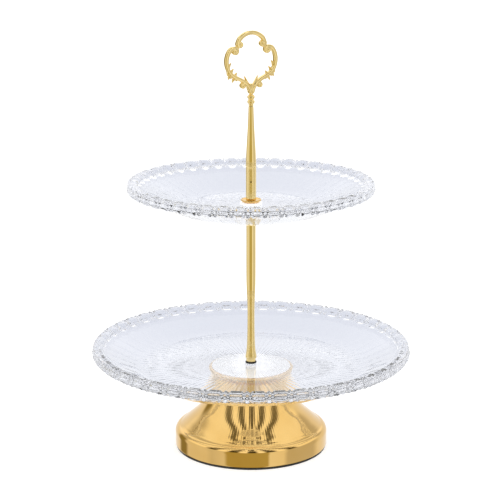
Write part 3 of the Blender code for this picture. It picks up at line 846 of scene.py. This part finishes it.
def world_light():
    """A white studio with dark, warm flags between its soft panels, so that the metal has contrast."""
    world = bpy.data.worlds.new("studio")
    bpy.context.scene.world = world
    world.use_nodes = True
    world.cycles.sampling_method = "NONE"
    tree = world.node_tree
    tree.nodes.clear()

    def add(kind, *inputs, **settings):
        """A node with these settings, and its inputs in order: outputs to join, values or None."""
        node = tree.nodes.new(kind)
        for key, value in settings.items():
            setattr(node, key, value)
        for socket, value in zip(node.inputs, inputs):
            if isinstance(value, bpy.types.NodeSocket):
                tree.links.new(value, socket)
            elif value is not None:
                socket.default_value = value
        return node

    def ramp(source, stops):
        """Brightness along the stops, with the flags tinted."""
        node = add("ShaderNodeValToRGB", source)
        elements = node.color_ramp.elements
        while len(elements) < len(stops):
            elements.new(0.5)
        for element, (place, value) in zip(elements, stops):
            element.position = place
            tint = FLAG_TINT if value < FLAG_LEVEL else (1, 1, 1)
            element.color = (*(value * share for share in tint), 1)
        return node.outputs[0]

    def mix(factor, one, other):
        """One colour at a factor of 0 and the other at 1; each is an output or a value."""
        node = add("ShaderNodeMix", factor, data_type="RGBA")
        for socket, value in zip((node.inputs[6], node.inputs[7]), (one, other)):
            if isinstance(value, bpy.types.NodeSocket):
                tree.links.new(value, socket)
            else:
                socket.default_value = (*value, 1)
        return node.outputs[2]

    def step(source, start, end):
        """0 below start and 1 above end."""
        node = add("ShaderNodeMapRange", source, start, end, 0.0, 1.0, interpolation_type="SMOOTHSTEP")
        return node.outputs[0]

    direction = add("ShaderNodeTexCoord").outputs["Generated"]
    back = (-math.sin(CAMERA_AZIMUTH), math.cos(CAMERA_AZIMUTH), 0)
    left = (-math.cos(CAMERA_AZIMUTH), -math.sin(CAMERA_AZIMUTH), 0)
    behind = add("ShaderNodeVectorMath", direction, back, operation="DOT_PRODUCT").outputs["Value"]
    beside = add("ShaderNodeVectorMath", direction, left, operation="DOT_PRODUCT").outputs["Value"]
    turn = add("ShaderNodeMath", beside, behind, operation="ARCTAN2").outputs[0]
    share = add("ShaderNodeMath", turn, TAU, operation="DIVIDE").outputs[0]
    share = add("ShaderNodeMath", share, operation="FRACT").outputs[0]
    height = add("ShaderNodeSeparateXYZ", direction).outputs["Z"]
    around = mix(step(height, *HIGH_BAND_RISE), ramp(share, LOW_BAND), ramp(share, HIGH_BAND))
    studio = mix(step(height, *CEILING_RISE), around, CEILING)
    path = add("ShaderNodeLightPath").outputs
    diffuse = add("ShaderNodeMath", path["Diffuse Depth"], 0.5, operation="GREATER_THAN").outputs[0]
    light = mix(path["Is Camera Ray"], mix(diffuse, studio, FLOOR_LIGHT), BACKGROUND)
    passed = path["Transmission Depth"]
    passed = add("ShaderNodeMath", passed, VEIL_PER_PASS, operation="MULTIPLY", use_clamp=True).outputs[0]
    bounced = add("ShaderNodeMath", path["Glossy Depth"], 1.0, 0.1, operation="COMPARE").outputs[0]
    bounced = add("ShaderNodeMath", bounced, BOUNCE_LOSS, operation="MULTIPLY").outputs[0]
    veil = add("ShaderNodeMath", passed, bounced, operation="SUBTRACT", use_clamp=True).outputs[0]
    light = mix(veil, light, mix(step(height, *SKY_RISE), GLASS_VEIL, GLASS_SKY))
    background = add("ShaderNodeBackground", light)
    out = add("ShaderNodeOutputWorld")
    tree.links.new(background.outputs[0], out.inputs["Surface"])


def floor():
    """A white sweep. Glass shows the veil in its place, and a first reflection looks through it."""
    bpy.ops.mesh.primitive_plane_add(size=12)
    plane = bpy.context.object
    plane.name = "studio_floor"
    nodes = Nodes("white_sweep")
    nodes.set(Base_Color=(0.6, 0.6, 0.6, 1), Roughness=0.9, Specular_IOR_Level=0.1)
    nodes.set(Emission_Color=(1, 1, 1, 1), Emission_Strength=FLOOR_GLOW)
    path = nodes.add("ShaderNodeLightPath")
    veil = nodes.add("ShaderNodeEmission")
    veil.inputs["Color"].default_value = (*GLASS_VEIL, 1)
    clear = nodes.add("ShaderNodeBsdfTransparent")
    seen = nodes.shader.outputs["BSDF"]
    for depth, operation, value, other in (
        ("Transmission Depth", "GREATER_THAN", 0.5, veil.outputs["Emission"]),
        ("Glossy Depth", "COMPARE", 1.0, clear.outputs["BSDF"]),
    ):
        test = nodes.add("ShaderNodeMath", operation=operation)
        test.inputs[1].default_value = value
        test.inputs[2].default_value = 0.1  # how close COMPARE has to be
        nodes.link(path.outputs[depth], test.inputs[0])
        mix = nodes.add("ShaderNodeMixShader")
        nodes.link(test.outputs[0], mix.inputs["Fac"])
        nodes.link(seen, mix.inputs[1])
        nodes.link(other, mix.inputs[2])
        seen = mix.outputs["Shader"]
    nodes.link(seen, nodes.tree.nodes["Material Output"].inputs["Surface"])
    plane.data.materials.append(nodes.material)


def camera():
    """The camera, in front of the stand and a little above it."""
    data = bpy.data.cameras.new("camera")
    data.lens = CAMERA_LENS
    data.sensor_width = 36
    data.shift_x = CAMERA_SHIFT
    eye = bpy.data.objects.new("camera", data)
    bpy.context.scene.collection.objects.link(eye)
    eye.location = (
        CAMERA_DISTANCE * math.sin(CAMERA_AZIMUTH),
        -CAMERA_DISTANCE * math.cos(CAMERA_AZIMUTH),
        CAMERA_HEIGHT,
    )
    eye.rotation_euler = (math.pi / 2 - CAMERA_PITCH, 0, CAMERA_AZIMUTH)
    bpy.context.scene.camera = eye


def colour_and_paths():
    """Plain colours, and bounces enough for two plates. The glossy limit keeps the rims' outlines dark."""
    scene = bpy.context.scene
    scene.view_settings.view_transform = "Standard"
    scene.cycles.max_bounces = 40
    scene.cycles.transmission_bounces = 32
    scene.cycles.glossy_bounces = 14
    scene.cycles.transparent_max_bounces = 16
    scene.cycles.sample_clamp_indirect = 6.0
    scene.cycles.use_denoising = True


# ---------------------------------------------------------------- the stand

pressed_plate("lower_plate_pressed", "lower_plate", "lower_dish",
              slope=24, wall=6.2 * MM)
pressed_plate("upper_plate_pressed", "upper_plate", "upper_dish",
              slope=23, wall=5.2 * MM)
foot_bell()
foot_seat()
plain_rings()
foot_bolt()
middle_stud()
lower_rod()
support_washer()
cup_washer()
upper_rod()
handle()
frame["nodes"]["handle_pin"].material_slots[0].material = STEEL

world_light()
floor()
camera()
colour_and_paths()
